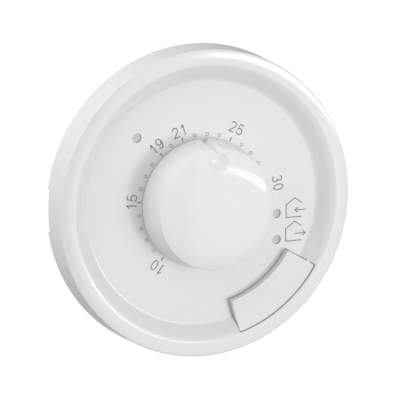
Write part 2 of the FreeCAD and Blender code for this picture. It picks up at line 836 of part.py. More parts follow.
# ---- terminals ----
def terminal_block():
    body = block(spread(0, terminal_block_x), (terminal_front_y, floor_y), terminal_block_z)
    low, high = clamp_y
    cutters = []
    for x in TERMINAL_X:
        cutters.append(block(spread(x, clamp_half_x + slide_fit), (low - slide_fit, high + slide_fit),
                             (terminal_block_z[0] - 5, clamp_z[1] + slide_fit)))
        cutters.append(rod(wire_hole_r, high - 1, floor_y + 1, x, wire_z))
        cutters.append(block(spread(x, tab_half_x + 0.1),
                             (high - tab_thickness - slide_fit, high + slide_fit),
                             (clamp_z[1], power_low_z)))
    return less(body, cutters)


def terminal_clamps():
    """Brass cages with a window for the wire, a threaded hole for the screw and a solder tab."""
    low, high = clamp_y
    clamps = []
    for x in TERMINAL_X:
        cage = block(spread(x, clamp_half_x), clamp_y, clamp_z)
        window = block(spread(x, wire_hole_r), (low - 1, high + 1), spread(wire_z, wire_hole_r))
        thread = along_z(clamp_screw_r + slide_fit, clamp_z[0] - 1, clamp_z[0] + 5, x)
        tab = block(spread(x, tab_half_x), (high - tab_thickness, high),
                    (clamp_z[1] - 0.3, clamp_pin_z + 0.4))
        pin = block(spread(x, 0.4), (high - 0.3, power_back_y + 0.4), spread(clamp_pin_z, 0.4))
        clamps.append(less(joined([cage, tab, pin]), [window, thread]))
    return Part.makeCompound(clamps)


def terminal_screws():
    screws = []
    for x in TERMINAL_X:
        head = along_z(clamp_head_r, clamp_z[0] - clamp_head_height, clamp_z[0], x)
        shank = along_z(clamp_screw_r, clamp_z[0] - 0.1, clamp_z[0] + 2.7, x)
        slot = block(spread(x, clamp_head_r + 1), spread(clamp_screw_y, 0.3),
                     (clamp_z[0] - clamp_head_height - 1, clamp_z[0] - clamp_head_height + 0.6))
        screws.append(joined([head, shank]).cut(slot))
    return Part.makeCompound(screws)


PIECES = (
    front_cover, knob, knob_retaining_ring, mode_button, switch_plunger, switch_body,
    support_frame, cover_clips, frame_screws, rear_housing, housing_lid, lid_screws,
    control_board, board_screws, microcontroller, temperature_sensor,
    potentiometer_body, potentiometer_bushing, potentiometer_shaft, potentiometer_pins,
    board_socket, board_header, header_pins, power_board,
    relay_base, relay_case, relay_coil, relay_yoke, relay_fixed_contact, relay_armature,
    suppression_capacitor, smoothing_capacitor, varistor, fuse, dropper_resistor,
    terminal_block, terminal_clamps, terminal_screws,
)

for piece in PIECES:
    save(piece.__name__, piece())
for window, window_x, window_z in WINDOWS:
    save(window + "_light_pipe", light_pipe(window_x, window_z))
    save(window + "_led", led(window_x, window_z))
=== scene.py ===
import math

import bmesh
import bpy
from mathutils import Matrix, Vector


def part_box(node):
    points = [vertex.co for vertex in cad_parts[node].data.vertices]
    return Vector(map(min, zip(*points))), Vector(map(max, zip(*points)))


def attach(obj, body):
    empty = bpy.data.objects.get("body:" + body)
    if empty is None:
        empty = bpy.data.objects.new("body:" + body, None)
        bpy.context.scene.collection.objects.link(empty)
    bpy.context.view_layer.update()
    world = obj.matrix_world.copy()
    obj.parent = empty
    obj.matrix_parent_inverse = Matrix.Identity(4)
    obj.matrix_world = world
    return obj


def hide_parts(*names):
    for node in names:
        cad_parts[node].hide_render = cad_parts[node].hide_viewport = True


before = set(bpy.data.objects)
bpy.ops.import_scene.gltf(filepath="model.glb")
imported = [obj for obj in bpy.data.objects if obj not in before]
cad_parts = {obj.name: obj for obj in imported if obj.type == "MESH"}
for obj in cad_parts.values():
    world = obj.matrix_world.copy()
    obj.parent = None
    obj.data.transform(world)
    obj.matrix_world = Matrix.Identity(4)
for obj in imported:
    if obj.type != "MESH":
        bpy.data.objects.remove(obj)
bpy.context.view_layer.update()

MM = 0.001
AROUND = 480                                   # steps round a full turn
HARD_TURN = 1.0                                # least corner angle, in radians, that bevel_upright rounds

# ---- driving sizes, in metres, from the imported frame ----
cover_low, cover_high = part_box("front_cover")
knob_low, knob_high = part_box("knob")
button_low, button_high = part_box("mode_button")

back_r = cover_high.z                          # cover's radius at the wall
cover_r = back_r - 0.4 * MM
crest_front = -cover_low.y
plate_front = crest_front - 2.5 * MM
plate_back = plate_front - 1.6 * MM            # inner face of the plate
cover_back = -cover_high.y
skirt_r = cover_r - 1.5 * MM
plate_r = 28.3 * MM
crest_r = 33.2 * MM
bore_r = 6.05 * MM
window_r = 1.1 * MM
dome_front = -knob_low.y
knob_front = plate_front + 8.34 * MM
knob_base_r = knob_high.x
knob_r = knob_base_r - 1.05 * MM
button_front = -button_low.y
button_span = (121.2, 165.0)                   # bearings of the opening
button_r = (24.3 * MM, 32.45 * MM)
button_gap = 0.15 * MM
stroke_height = 0.02 * MM                      # thickness of printed ink

# ---- looks: base colours, roughness and light ----
COVER_COLOUR = (0.80, 0.80, 0.79)
PLATE_ROUGH = 0.42
RIM_ROUGH = 0.13
RIM_SHADE = 0.955                              # the glossy rim's body colour, as a share of the plate's
KNOB_COLOUR = (0.82, 0.82, 0.81)
KNOB_FACE_ROUGH = 0.08
KNOB_SIDE_ROUGH = 0.40
BUTTON_COLOUR = (0.78, 0.78, 0.77)
BUTTON_ROUGH = 0.25
INK_COLOUR = (0.21, 0.21, 0.20)
SURROUND = 0.44                                # light from all round, as a share of white


# ---- meshes ----
def at(radius, bearing, front):
    """Point at a radius and a bearing (clockwise from up, as seen from the room), in front of the wall."""
    angle = math.radians(bearing)
    return Vector((radius * math.sin(angle), -front, radius * math.cos(angle)))


def new_object(name, data):
    obj = bpy.data.objects.new(name, data)
    bpy.context.scene.collection.objects.link(obj)
    return obj


def built(name, bm):
    """Object made from a finished bmesh, which is freed."""
    mesh = bpy.data.meshes.new(name)
    bm.to_mesh(mesh)
    bm.free()
    return new_object(name, mesh)


def dress(obj, material):
    """Gives the whole object one material."""
    obj.data.materials.clear()
    obj.data.materials.append(material)


def arc(start, end, turn, steps):
    """Points of an arc from start to end, without the start.

    A positive turn, in degrees, bulges to the right of the way from start to end.
    """
    a, b = Vector(start), Vector(end)
    half = math.radians(turn) / 2
    chord = b - a
    radius = chord.length / 2 / math.sin(half)         # negative for a negative turn
    normal = Vector((chord.y, -chord.x)).normalized()
    centre = (a + b) / 2 - normal * radius * math.cos(half)
    first = a - centre
    points = []
    for i in range(1, steps + 1):
        angle = 2 * half * i / steps
        c, s = math.cos(angle), math.sin(angle)
        points.append(tuple(centre + Vector((first.x * c - first.y * s, first.x * s + first.y * c))))
    return points


def lathe(name, outline, span=None):
    """Turns a closed outline of (radius, front) points about the knob's axis.

    A span of two bearings gives a sector with flat ends. Points on the axis are shared by all steps.
    """
    bm = bmesh.new()
    full = span is None
    start, end = span or (0.0, 360.0)
    steps = max(12, round(AROUND * (end - start) / 360))
    columns = steps if full else steps + 1
    rings = []
    for i in range(columns):
        bearing = start + (end - start) * i / steps
        ring = []
        for r, p in outline:
            if r < 1e-7 and rings:
                ring.append(rings[0][len(ring)])
            else:
                ring.append(bm.verts.new(at(r, bearing, p)))
        rings.append(ring)
    count = len(outline)
    for i in range(steps):
        a, b = rings[i], rings[(i + 1) % columns]
        for j in range(count):
            k = (j + 1) % count
            corners = []
            for v in (a[j], a[k], b[k], b[j]):
                if v not in corners:
                    corners.append(v)
            if len(corners) > 2:
                bm.faces.new(corners)
    if not full:
        bm.faces.new(rings[0])
        bm.faces.new(rings[-1])
    bmesh.ops.recalc_face_normals(bm, faces=bm.faces)
    return built(name, bm)


def box_object(name, low, high, bearing=0.0):
    """Box between two corners, turned about the knob's axis to a bearing."""
    bm = bmesh.new()
    bmesh.ops.create_cube(bm, size=1.0)
    for v in bm.verts:
        for i in range(3):
            v.co[i] = low[i] if v.co[i] < 0 else high[i]
    bmesh.ops.rotate(bm, verts=bm.verts, matrix=Matrix.Rotation(math.radians(bearing), 3, "Y"))
    return built(name, bm)


def round_bar(name, radius, centre, low_y, high_y):
    """Round bar along Y."""
    bm = bmesh.new()
    bmesh.ops.create_cone(bm, cap_ends=True, segments=96, radius1=radius, radius2=radius,
                          depth=high_y - low_y, matrix=Matrix.Rotation(math.pi / 2, 4, "X"))
    bmesh.ops.translate(bm, verts=bm.verts, vec=(centre[0], (low_y + high_y) / 2, centre[1]))
    return built(name, bm)


def carve(obj, cutters, operation="DIFFERENCE"):
    """Applies each cutter to the object and removes the cutter."""
    for cutter in cutters:
        mod = obj.modifiers.new("carve", "BOOLEAN")
        mod.operation = operation
        mod.solver = "EXACT"
        mod.object = cutter
    dg = bpy.context.evaluated_depsgraph_get()
    mesh = bpy.data.meshes.new_from_object(obj.evaluated_get(dg))
    obj.modifiers.clear()
    obj.data = mesh
    for cutter in cutters:
        bpy.data.objects.remove(cutter)


def smooth(obj, angle=28.0):
    """Shades smooth except across edges sharper than the angle."""
    for face in obj.data.polygons:
        face.use_smooth = True
    obj.data.set_sharp_from_angle(angle=math.radians(angle))
    weigh = obj.modifiers.new("weighted_normals", "WEIGHTED_NORMAL")
    weigh.keep_sharp = True


def soften(obj, width, angle):
    """Small bevel on every edge sharper than the angle."""
    bevel = obj.modifiers.new("edge_round", "BEVEL")
    bevel.width = width
    bevel.segments = 3
    bevel.limit_method = "ANGLE"
    bevel.angle_limit = math.radians(angle)


def bevel_upright(obj, width):
    """Rounds the corner edges that run along Y."""
    bm = bmesh.new()
    bm.from_mesh(obj.data)
    edges = []
    for e in bm.edges:
        along = (e.verts[1].co - e.verts[0].co).normalized()
        if abs(along.y) > 0.99 and len(e.link_faces) == 2 and e.calc_face_angle(0) > HARD_TURN:
            edges.append(e)
    bmesh.ops.bevel(bm, geom=edges, offset=width, segments=6, profile=0.5, affect="EDGES")
    bm.to_mesh(obj.data)
    bm.free()


# ---- materials ----
def shader(name):
    mat = bpy.data.materials.new(name)
    mat.use_nodes = True
    tree = mat.node_tree
    bsdf = tree.nodes["Principled BSDF"]
    return mat, tree, bsdf


def node(tree, kind, **values):
    """New node. Each value sets the input of that name, or else the node's own setting."""
    made = tree.nodes.new(kind)
    for key, value in values.items():
        if key in made.inputs:
            made.inputs[key].default_value = value
        else:
            setattr(made, key, value)
    return made


def object_place(tree):
    """Coordinates fixed to the object."""
    return node(tree, "ShaderNodeTexCoord").outputs["Object"]


def object_axes(tree):
    """Separate X, Y and Z of the object's coordinates."""
    parts = node(tree, "ShaderNodeSeparateXYZ")
    tree.links.new(object_place(tree), parts.inputs["Vector"])
    return parts.outputs


def rising(tree, source, start, end):
    """Mask that goes from 0 to 1 as the source goes from start to end."""
    ramp = node(tree, "ShaderNodeMapRange")
    ramp.inputs["From Min"].default_value = start
    ramp.inputs["From Max"].default_value = end
    tree.links.new(source, ramp.inputs["Value"])
    return ramp.outputs["Result"]


def object_noise(tree, scale, detail=3.0, stretch=None):
    source = object_place(tree)
    if stretch:
        mapping = node(tree, "ShaderNodeMapping")
        mapping.inputs["Scale"].default_value = stretch
        tree.links.new(source, mapping.inputs["Vector"])
        source = mapping.outputs["Vector"]
    noise = node(tree, "ShaderNodeTexNoise", Scale=scale, Detail=detail)
    tree.links.new(source, noise.inputs["Vector"])
    return noise


def between(tree, source, low, high):
    """Maps a 0 to 1 value on to a range."""
    remap = node(tree, "ShaderNodeMapRange")
    remap.inputs["To Min"].default_value = low
    remap.inputs["To Max"].default_value = high
    tree.links.new(source, remap.inputs["Value"])
    return remap.outputs["Result"]


def tinted(tree, bsdf, colour, factor, spread):
    """Base colour that varies a little round its middle."""
    mix = node(tree, "ShaderNodeMix", data_type="RGBA")
    darker = [c * (1 - spread) for c in colour]
    lighter = [min(1.0, c * (1 + spread)) for c in colour]
    mix.inputs["A"].default_value = (*darker, 1)
    mix.inputs["B"].default_value = (*lighter, 1)
    tree.links.new(factor, mix.inputs["Factor"])
    tree.links.new(mix.outputs["Result"], bsdf.inputs["Base Color"])
    return mix


def bumped(tree, bsdf, height, strength, distance):
    bump = node(tree, "ShaderNodeBump", Strength=strength, Distance=distance)
    tree.links.new(height, bump.inputs["Height"])
    tree.links.new(bump.outputs["Normal"], bsdf.inputs["Normal"])


def plastic(name, colour, roughness, grain=9000.0, bump=0.05, spread=0.012):
    """Moulded plastic: fine grain, uneven gloss and a slight shift of colour."""
    mat, tree, bsdf = shader(name)
    broad = object_noise(tree, 60.0)
    fine = object_noise(tree, grain, 2.0)
    tinted(tree, bsdf, colour, broad.outputs["Fac"], spread)
    uneven = between(tree, broad.outputs["Fac"], roughness * 0.85, roughness * 1.15)
    tree.links.new(uneven, bsdf.inputs["Roughness"])
    bumped(tree, bsdf, fine.outputs["Fac"], bump, 0.01 * MM)
    return mat


def metal(name, colour, roughness, stretch=(1, 1, 1), scale=900.0):
    """Plated or drawn metal with fine streaks."""
    mat, tree, bsdf = shader(name)
    streaks = object_noise(tree, scale, 4.0, stretch)
    tinted(tree, bsdf, colour, streaks.outputs["Fac"], 0.10)
    uneven = between(tree, streaks.outputs["Fac"], roughness * 0.7, roughness * 1.4)
    tree.links.new(uneven, bsdf.inputs["Roughness"])
    bumped(tree, bsdf, streaks.outputs["Fac"], 0.15, 0.02 * MM)
    bsdf.inputs["Metallic"].default_value = 1.0
    return mat


def distance_from_axis(tree):
    """Distance of each point from the knob's axis."""
    parts = object_axes(tree)
    flat = node(tree, "ShaderNodeCombineXYZ")
    tree.links.new(parts["X"], flat.inputs["X"])
    tree.links.new(parts["Z"], flat.inputs["Y"])
    length = node(tree, "ShaderNodeVectorMath", operation="LENGTH")
    tree.links.new(flat.outputs["Vector"], length.inputs["Vector"])
    return length.outputs["Value"]


def cover_plastic():
    """White cover: glossy rim and side, finely grained satin plate inside the rim's foot."""
    mat, tree, bsdf = shader("cover_white")
    on_rim = rising(tree, distance_from_axis(tree), plate_r, plate_r + 0.4 * MM)
    broad = object_noise(tree, 45.0)
    fine = object_noise(tree, 5200.0, 2.0)
    mottle = tinted(tree, bsdf, COVER_COLOUR, broad.outputs["Fac"], 0.008)
    shade = node(tree, "ShaderNodeMix", data_type="RGBA", blend_type="MULTIPLY")
    shade.inputs["B"].default_value = (RIM_SHADE, RIM_SHADE, RIM_SHADE, 1)
    tree.links.new(on_rim, shade.inputs["Factor"])
    tree.links.new(mottle.outputs["Result"], shade.inputs["A"])
    tree.links.new(shade.outputs["Result"], bsdf.inputs["Base Color"])
    rough = between(tree, on_rim, PLATE_ROUGH, RIM_ROUGH)
    tree.links.new(rough, bsdf.inputs["Roughness"])
    tree.links.new(on_rim, bsdf.inputs["Coat Weight"])
    bsdf.inputs["Coat Roughness"].default_value = 0.08
    strength = between(tree, on_rim, 0.7, 0.04)
    bump = node(tree, "ShaderNodeBump", Distance=0.012 * MM)
    tree.links.new(strength, bump.inputs["Strength"])
    tree.links.new(fine.outputs["Fac"], bump.inputs["Height"])
    tree.links.new(bump.outputs["Normal"], bsdf.inputs["Normal"])
    return mat


def knob_plastic():
    """White knob: polished face, satin side."""
    mat, tree, bsdf = shader("knob_white")
    on_side = rising(tree, object_axes(tree)["Y"], -knob_front, -knob_front + 0.4 * MM)
    broad = object_noise(tree, 60.0)
    fine = object_noise(tree, 9000.0, 2.0)
    tinted(tree, bsdf, KNOB_COLOUR, broad.outputs["Fac"], 0.006)
    rough = between(tree, on_side, KNOB_FACE_ROUGH, KNOB_SIDE_ROUGH)
    tree.links.new(rough, bsdf.inputs["Roughness"])
    bumped(tree, bsdf, fine.outputs["Fac"], 0.02, 0.01 * MM)
    return mat


def ink():
    """Matt grey printing ink."""
    mat, tree, bsdf = shader("scale_ink")
    mottle = object_noise(tree, 4000.0)
    tinted(tree, bsdf, INK_COLOUR, mottle.outputs["Fac"], 0.10)
    bsdf.inputs["Roughness"].default_value = 0.6
    return mat


def circuit_board():
    """Green solder resist with copper tracks showing through."""
    mat, tree, bsdf = shader("circuit_board")
    brick = node(tree, "ShaderNodeTexBrick", Scale=380.0)
    brick.inputs["Color1"].default_value = (0.02, 0.15, 0.06, 1)
    brick.inputs["Color2"].default_value = (0.025, 0.19, 0.08, 1)
    brick.inputs["Mortar"].default_value = (0.04, 0.30, 0.13, 1)
    turned = node(tree, "ShaderNodeMapping")
    turned.inputs["Rotation"].default_value = (math.pi / 2, 0, 0)
    tree.links.new(object_place(tree), turned.inputs["Vector"])
    tree.links.new(turned.outputs["Vector"], brick.inputs["Vector"])
    tree.links.new(brick.outputs["Color"], bsdf.inputs["Base Color"])
    bumped(tree, bsdf, brick.outputs["Fac"], 0.4, 0.03 * MM)
    bsdf.inputs["Roughness"].default_value = 0.3
    return mat


def winding():
    """Enamelled copper wire wound round the X axis."""
    mat, tree, bsdf = shader("copper_winding")
    wave = node(tree, "ShaderNodeTexWave", Scale=1400.0, Distortion=0.6)
    tree.links.new(object_place(tree), wave.inputs["Vector"])
    tinted(tree, bsdf, (0.55, 0.22, 0.09), wave.outputs["Fac"], 0.25)
    bumped(tree, bsdf, wave.outputs["Fac"], 0.6, 0.05 * MM)
    bsdf.inputs["Metallic"].default_value = 0.8
    bsdf.inputs["Roughness"].default_value = 0.35
    return mat


def clear_pipe():
    """Unlit light pipe: grey base with a cloudy noise. The grey is painted shade that darkens the floor of
    each window's recess.
    """
    mat, tree, bsdf = shader("light_pipe")
    cloud = object_noise(tree, 900.0)
    # painted shade: this grey base colour darkens the floor of each window recess
    tinted(tree, bsdf, (0.58, 0.59, 0.57), cloud.outputs["Fac"], 0.02)
    bumped(tree, bsdf, cloud.outputs["Fac"], 0.2, 0.02 * MM)
    bsdf.inputs["Roughness"].default_value = 0.35
    return mat


# ---- cover ----
def cover_outline():
    """Closed section of the cover as (radius, front) points."""
    slope = 40.0                               # steepest part of the rim's inner side, in degrees
    fall = 2.2 * MM                            # width of the arc from the crest down
    foot = 1.2 * MM                            # width of the arc into the plate
    edge = 0.35 * MM
    brow_fall = 0.12 * MM                      # the rim's front falls this much towards its outer edge
    edge_turn, brow_turn = 84.0, 5.6
    ceiling_r = 31.4 * MM
    corner = 0.08 * MM
    draft = 0.3 * MM
    drop = math.tan(math.radians(slope) / 2)   # fall of an arc that turns by the slope, per width
    fall_drop = fall * drop
    foot_rise = foot * drop
    brow = (cover_r - edge, crest_front - brow_fall)
    shoulder = (cover_r, brow[1] - edge)
    crest = (crest_r, crest_front)
    slope_top = (crest_r - fall, crest_front - fall_drop)
    slope_foot = (plate_r + foot, plate_front + foot_rise)
    ceiling = crest_front - 1.8 * MM
    points = [
        (bore_r, plate_back),
        (plate_r - 0.6 * MM, plate_back),
        (ceiling_r, ceiling),
        (skirt_r, ceiling),
        (skirt_r + draft, cover_back),
        (back_r - corner, cover_back),
        (back_r, cover_back + corner),
        shoulder,
    ]
    points += arc(shoulder, brow, edge_turn, 8)
    points += arc(brow, crest, brow_turn, 6)
    points += arc(crest, slope_top, slope, 16)
    points.append(slope_foot)
    points += arc(slope_foot, (plate_r, plate_front), -slope, 12)
    points += [(bore_r + 2.0 * MM, plate_front), (bore_r, plate_front)]
    return points


def cover_openings():
    """Cutters for the button's opening, the pry notch and the three windows."""
    inner, outer = button_r
    over = 1 * MM
    far = crest_front + 2 * MM
    section = [(inner, -over), (outer, -over), (outer, far), (inner, far)]
    opening = lathe("opening", section, button_span)
    bevel_upright(opening, 0.4 * MM)
    half_notch = 5 * MM
    notch_depth = 1.0 * MM
    notch = box_object("notch", (-back_r - 2 * over, -cover_back - notch_depth, -half_notch),
                       (-skirt_r + over, over, half_notch))
    cutters = [opening, notch]
    for name in ("heating", "comfort", "setback"):
        low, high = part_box(name + "_light_pipe")
        centre = ((low.x + high.x) / 2, (low.z + high.z) / 2)
        cutters.append(round_bar("window", window_r, centre, -far, 0.0))
    return cutters


def cover_tongues():
    """Four flat tongues that the spring clips hold."""
    half_width = 2.5 * MM
    root = crest_front - 1.85 * MM
    tip = 1.8 * MM
    inner, outer = 29.85 * MM, 31.15 * MM
    return [box_object("tongue", (-half_width, -root, inner), (half_width, -tip, outer), bearing)
            for bearing in (20.0, 110.0, 200.0, 290.0)]


def make_cover():
    cover = lathe("front_cover_shell", cover_outline())
    carve(cover, cover_openings())
    carve(cover, cover_tongues(), "UNION")
    smooth(cover)
    dress(cover, cover_plastic())
    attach(cover, "cover")
    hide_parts("front_cover")


# ---- knob ----
def knob_outline():
    """Closed section of the knob: bore, hub with its ring groove, hollow, side, shoulder and dome."""
    land_r = knob_r - 1.1 * MM
    edge = 0.22 * MM
    edge_turn = 64.0
    wall = 1.7 * MM
    corner = 0.06 * MM
    base = plate_front + 0.35 * MM
    ceiling = knob_front - 1.4 * MM
    hub_r = 6.0 * MM
    hub_back = -knob_high.y
    ring_floor_r = 5.3 * MM
    ring_back, ring_front = 3.2 * MM, 3.9 * MM
    bore = 3.04 * MM
    bore_front = 11.8 * MM
    crown_r = 9.0 * MM
    crown_slope, edge_slope = 4.5, 13.0        # of the dome at the crown's radius and at its edge
    crown_front = dome_front - crown_r * math.tan(math.radians(crown_slope / 2))
    fall = (land_r - crown_r) * math.tan(math.radians((crown_slope + edge_slope) / 2))
    land = (land_r, crown_front - fall)
    side_top = (knob_r, knob_front - edge)
    points = [
        (0.0, bore_front),
        (bore, bore_front),
        (bore, hub_back),
        (ring_floor_r, hub_back),
        (hub_r, hub_back),
        (hub_r, ring_back),
        (ring_floor_r, ring_back),
        (ring_floor_r, ring_front),
        (hub_r, ring_front),
        (hub_r, ceiling),
        (knob_r - wall, ceiling),
        (knob_base_r - wall, base),
        (knob_base_r - corner, base),
        (knob_base_r, base + corner),
        side_top,
    ]
    points += arc(side_top, (knob_r - edge, knob_front), edge_turn, 8)
    points.append(land)
    points += arc(land, (crown_r, crown_front), edge_slope - crown_slope, 16)
    points += arc((crown_r, crown_front), (0.0, dome_front), crown_slope, 24)
    return points


def pointer_wedge():
    """Prism for the V groove down the knob's side, parallel to the tapered wall."""
    depth = 1.2 * MM
    half_width = 2.5 * MM                      # at one depth outside the surface
    over = 1 * MM
    corners = ((0.0, -depth), (half_width, depth), (-half_width, depth))
    taper = (knob_base_r - knob_r) / (knob_front - plate_front)
    bm = bmesh.new()
    ends = []
    for front in (plate_front - over, knob_front + over):
        surface = knob_base_r - taper * (front - plate_front)
        ends.append([bm.verts.new((x, -front, surface + z)) for x, z in corners])
    bm.faces.new(ends[0])
    bm.faces.new(ends[1][::-1])
    for i in range(3):
        k = (i + 1) % 3
        bm.faces.new((ends[0][i], ends[1][i], ends[1][k], ends[0][k]))
    bmesh.ops.recalc_face_normals(bm, faces=bm.faces)
    return built("wedge", bm)


def dimple_ball():
    """Ball whose cap is the finger dimple near the pointer."""
    half_width, depth = 2.4 * MM, 0.45 * MM
    radius = (half_width ** 2 + depth ** 2) / (2 * depth)
    from_axis = 12.0 * MM
    surface = dome_front - 0.77 * MM           # the dome has fallen this far there
    bm = bmesh.new()
    bmesh.ops.create_uvsphere(bm, u_segments=128, v_segments=96, radius=radius)
    bmesh.ops.translate(bm, verts=bm.verts, vec=(0, -(surface + radius - depth), from_axis))
    return built("ball", bm)


def make_knob():
    knob = lathe("knob_shell", knob_outline())
    carve(knob, [pointer_wedge(), dimple_ball()])
    smooth(knob, 24.0)
    dress(knob, knob_plastic())
    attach(knob, "knob")
    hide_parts("knob")


# ---- mode button ----
def button_cap(inner, outer, span):
    """Curved key with a crowned front, hollow from behind."""
    crown_turn = 14.6
    wall = 1.2 * MM
    lug_back = -button_high.y
    outline = [(inner, lug_back), (outer, lug_back), (outer, button_front)]
    outline += arc((outer, button_front), (inner, button_front), -crown_turn, 16)
    cap = lathe("mode_button_cap", outline, span)
    bevel_upright(cap, 0.35 * MM)
    turn = math.degrees(wall / inner)
    near, far = inner + wall, outer - wall
    hollow_back = lug_back - 1 * MM
    hollow_front = button_front - 1.6 * MM
    section = [(near, hollow_back), (far, hollow_back), (far, hollow_front), (near, hollow_front)]
    carve(cap, [lathe("hollow", section, (span[0] + turn, span[1] - turn))])
    return cap


def button_lug(inner):
    """Block that reaches inwards over the switch."""
    half_width = 3 * MM
    front = 3.87 * MM
    switch_end = 16.9 * MM
    middle = sum(button_span) / 2
    return box_object("lug", (-half_width, -front, switch_end),
                      (half_width, button_high.y, inner + 0.8 * MM), middle)


def button_lip(outer, span):
    """Lip that stops the key behind the cover."""
    ceiling = crest_front - 1.9 * MM
    back = ceiling - 1.0 * MM
    near, far = outer - 0.5 * MM, outer + 1.5 * MM
    section = [(near, back), (far, back), (far, ceiling), (near, ceiling)]
    return lathe("lip", section, (span[0] + 2, span[1] - 2))


def make_button():
    inner = button_r[0] + button_gap
    outer = button_r[1] - button_gap
    angle_gap = math.degrees(button_gap / inner)
    span = (button_span[0] + angle_gap, button_span[1] - angle_gap)
    cap = button_cap(inner, outer, span)
    carve(cap, [button_lug(inner), button_lip(outer, span)], "UNION")
    soften(cap, 0.12 * MM, 40.0)
    smooth(cap, 30.0)
    dress(cap, plastic("button_white", BUTTON_COLOUR, BUTTON_ROUGH, bump=0.03, spread=0.006))
    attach(cap, "mode_button")
    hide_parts("mode_button")


# ---- printed scale ----
SCALE_START = 219.5                            # bearing of the 10 mark
SCALE_STEP = 11.075                            # degrees of turn per degree of temperature
NUMERALS = (                                   # value, radius of its foot in mm, bearing of its middle
    (10, 17.0, 218.5), (15, 16.5, 274.8), (19, 16.9, 320.5),
    (21, 16.8, 341.0), (25, 17.5, 386.3), (30, 17.8, 440.5),
)
NUMERAL_START = 0.07                           # space before a figure, as a share of the height
dot_r = 16.1 * MM
dot_size = 0.35 * MM                           # radius of one dot
tick_r = (15.5 * MM, 16.5 * MM)
numeral_height = 2.6 * MM
numeral_advance = 0.76                         # of the height
numeral_line = 0.24 * MM
fine_line = 0.12 * MM
house_line = 0.21 * MM
ink_front = plate_front + stroke_height


def ribbon(bm, points, width, closed=False):
    """Raised ink line of even width through (x, z) points, with mitred corners."""
    rails = []
    last = len(points) - 1
    for i, point in enumerate(points):
        here = Vector(point)
        ways = []
        if closed or i > 0:
            ways.append((here - Vector(points[i - 1])).normalized())
        if closed or i < last:
            ways.append((Vector(points[(i + 1) % len(points)]) - here).normalized())
        along = sum(ways, Vector((0, 0))).normalized()
        side = Vector((-along.y, along.x)) * (width / 2 / max(0.4, along.dot(ways[0])))
        left, right = here + side, here - side
        section = ((left.x, -plate_front, left.y), (left.x, -ink_front, left.y),
                   (right.x, -ink_front, right.y), (right.x, -plate_front, right.y))
        rails.append([bm.verts.new(v) for v in section])
    for i in range(len(points) if closed else last):
        a, b = rails[i], rails[(i + 1) % len(points)]
        for j in range(3):
            bm.faces.new((a[j], b[j], b[j + 1], a[j + 1]))


def printed(name, lines, width, material, closed=False):
    """One ink object from several lines. It rides on the cover."""
    bm = bmesh.new()
    for points in lines:
        ribbon(bm, points, width, closed)
    bmesh.ops.recalc_face_normals(bm, faces=bm.faces)
    obj = built(name, bm)
    dress(obj, material)
    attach(obj, "cover")


def oval(centre, radii, start, end, steps=20):
    """Points of an ellipse's arc between two angles in degrees, counter-clockwise from the right."""
    points = []
    for i in range(steps + 1):
        angle = math.radians(start + (end - start) * i / steps)
        points.append((centre[0] + radii[0] * math.cos(angle), centre[1] + radii[1] * math.sin(angle)))
    return points


def digit(figure):
    """Centre lines of a plain figure that is one unit high."""
    if figure == "0":
        return [oval((0.31, 0.5), (0.24, 0.45), 0, 360, 32)]
    if figure == "1":
        return [[(0.14, 0.72), (0.28, 0.81), (0.38, 0.97)], [(0.38, 1.0), (0.38, 0.0)]]
    if figure == "2":
        return [oval((0.31, 0.7), (0.24, 0.25), 170, -35) + [(0.08, 0.06), (0.58, 0.06)]]
    if figure == "3":
        return [oval((0.29, 0.73), (0.21, 0.22), 165, -90), oval((0.29, 0.29), (0.25, 0.23), 85, -165)]
    if figure == "5":
        return [[(0.54, 0.94), (0.18, 0.94), (0.11, 0.5)] + oval((0.3, 0.32), (0.26, 0.27), 135, -165)]
    return [oval((0.31, 0.67), (0.23, 0.28), 0, 360, 28), oval((0.27, 0.57), (0.28, 0.52), 10, -140)]


def numeral(value, foot_r, bearing, material):
    """Number that stands on the scale's circle with its top outwards."""
    text = str(value)
    angle = math.radians(bearing)
    lines = []
    for place, figure in enumerate(text):
        shift = (place - len(text) / 2) * numeral_advance + NUMERAL_START
        for points in digit(figure):
            line = []
            for x, z in points:
                across = (x + shift) * numeral_height
                up = foot_r + z * numeral_height
                line.append((across * math.cos(angle) + up * math.sin(angle),
                             up * math.cos(angle) - across * math.sin(angle)))
            lines.append(line)
    printed("numeral_" + text, lines, numeral_line, material)


def make_scale(material):
    numbered = [value for value, _, _ in NUMERALS]
    dots = []
    ticks = []
    for value in range(10, 31):
        bearing = SCALE_START + (value - 10) * SCALE_STEP
        if value in numbered:
            ticks.append([(p.x, p.z) for p in (at(r, bearing, plate_front) for r in tick_r)])
        else:
            middle = at(dot_r, bearing, plate_front)
            dots.append(oval((middle.x, middle.z), (dot_size, dot_size), 0, 345, 23))
    printed("scale_dots", dots, fine_line, material, closed=True)
    printed("scale_ticks", ticks, numeral_line, material)
    for value, foot_r, bearing in NUMERALS:
        numeral(value, foot_r * MM, bearing, material)


def house(name, eave, apex, roof_end, corner, arrow_z, arrow_x, material):
    """House outline with an arrow through its open side. Places are (x, z) in mm, the arrow runs along x."""
    tail, tip = arrow_x
    barb_length, barb_height = 0.7, 0.62
    back = tip - math.copysign(barb_length, tip - tail)
    lines = (
        (corner, (eave[0], corner[1]), eave, apex, roof_end),
        ((tail, arrow_z), (tip, arrow_z)),
        ((back, arrow_z + barb_height), (tip, arrow_z), (back, arrow_z - barb_height)),
    )
    scaled = [[(x * MM, z * MM) for x, z in line] for line in lines]
    printed(name, scaled, house_line, material)


def make_pictograms(material):
    house("pictogram_at_home", (21.05, -2.35), (23.3, -0.8), (25.1, -2.05), (25.1, -5.35),
          -3.7, (26.1, 23.35), material)
    house("pictogram_away", (20.95, -8.05), (23.3, -6.4), (25.1, -7.65), (25.1, -11.0),
          -9.35, (23.25, 26.0), material)


